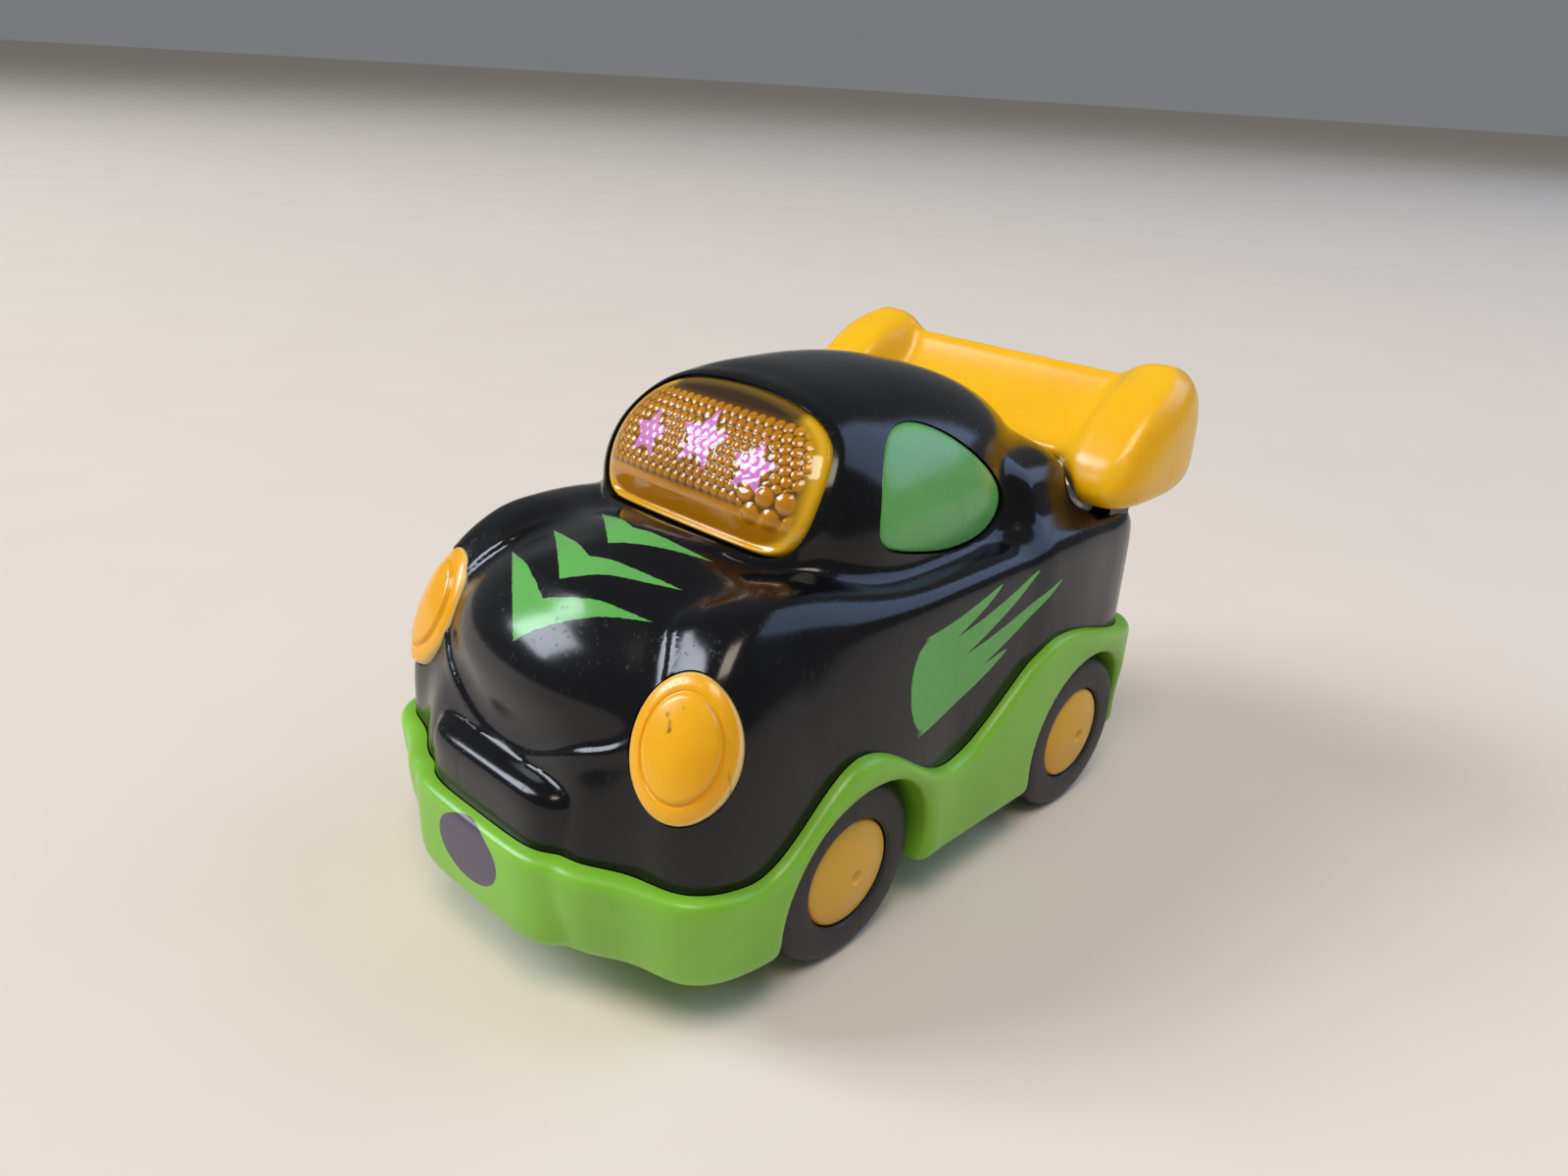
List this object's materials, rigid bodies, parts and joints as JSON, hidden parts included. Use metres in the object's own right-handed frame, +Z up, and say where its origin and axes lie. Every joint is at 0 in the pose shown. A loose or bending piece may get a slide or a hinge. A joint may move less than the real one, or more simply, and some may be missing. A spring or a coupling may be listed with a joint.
{
  "type": "toy race car",
  "caption": "Stubby toy race car with a press-in windscreen, rounded fenders, wrap-round trim with wheel arches, a rear wing between rounded pods, and free-rolling wheels.",
  "frame": {"origin": "on the ground below the middle of the car", "axes": "+Z up, the nose faces -Y, the car's left side is at +X"},
  "size_m": [0.0686, 0.1172, 0.0716],
  "materials": {
    "black_gloss": "glossy moulded ABS with fine scratches",
    "green_plastic": "satin moulded lime-green ABS",
    "green_window": "smooth leaf-green plastic",
    "yellow_plastic": "smooth moulded yellow plastic",
    "orange_plastic": "smooth orange-yellow plastic",
    "amber_lens": "translucent amber plastic",
    "tyre_black": "satin black, smooth tread",
    "hub_yellow": "dull yellow plastic",
    "cell_jacket": "plain sleeve on a dry cell",
    "board_green": "solder-masked board",
    "pad_rubber": "pale silicone",
    "led_clear": "clear resin",
    "dark_plastic": "dark moulded plastic",
    "steel": "plated steel"
  },
  "bodies": {
    "car": {"body_shell": "black_gloss", "chassis": "green_plastic", "button_pad": "pad_rubber", "circuit_board": "board_green", "led": "led_clear", "board_screw_left": "steel", "board_screw_right": "steel", "board_screw_top": "steel", "headlight_left": "orange_plastic", "side_window_left": "green_window", "battery_left": "cell_jacket", "contact_plate_left": "steel", "contact_spring_left": "steel", "headlight_right": "orange_plastic", "side_window_right": "green_window", "battery_right": "cell_jacket", "contact_plate_right": "steel", "contact_spring_right": "steel", "battery_cover": "green_plastic", "battery_cover_screw": "steel", "body_screw_front_left": "steel", "body_screw_front_right": "steel", "body_screw_rear_left": "steel", "body_screw_rear_right": "steel", "speaker": "dark_plastic", "switch_body": "dark_plastic"},
    "front_wheelset": {"axle_front": "steel", "hub_front_left": "hub_yellow", "tyre_front_left": "tyre_black", "hub_front_right": "hub_yellow", "tyre_front_right": "tyre_black"},
    "rear_wheelset": {"axle_rear": "steel", "hub_rear_left": "hub_yellow", "tyre_rear_left": "tyre_black", "hub_rear_right": "hub_yellow", "tyre_rear_right": "tyre_black"},
    "windscreen_button": {"windscreen_button": "amber_lens"},
    "wing": {"wing": "yellow_plastic", "wing_pin_left": "steel", "wing_pin_right": "steel"},
    "switch_knob": {"switch_knob": "dark_plastic"}
  },
  "joints": [
    {"name": "front_axle_spin", "type": "hinge", "parent": "car", "child": "front_wheelset", "pos_m": [0, -0.02185, 0.013], "axis": [1, 0, 0], "continuous": true},
    {"name": "rear_axle_spin", "type": "hinge", "parent": "car", "child": "rear_wheelset", "pos_m": [0, 0.03305, 0.013], "axis": [1, 0, 0], "continuous": true},
    {"name": "windscreen_press", "type": "slide", "parent": "car", "child": "windscreen_button", "axis": [0, 0.9336, -0.3584], "range_m": [0, 0.002], "stiffness_N_per_m": 300, "deforming": ["button_pad"]},
    {"name": "wing_flip", "type": "hinge", "parent": "car", "child": "wing", "pos_m": [0, 0.0406, 0.0598], "axis": [-1, 0, 0], "range_deg": [0, 20]},
    {"name": "power_switch", "type": "slide", "parent": "car", "child": "switch_knob", "axis": [1, 0, 0], "range_m": [0, 0.003]}
  ]
}
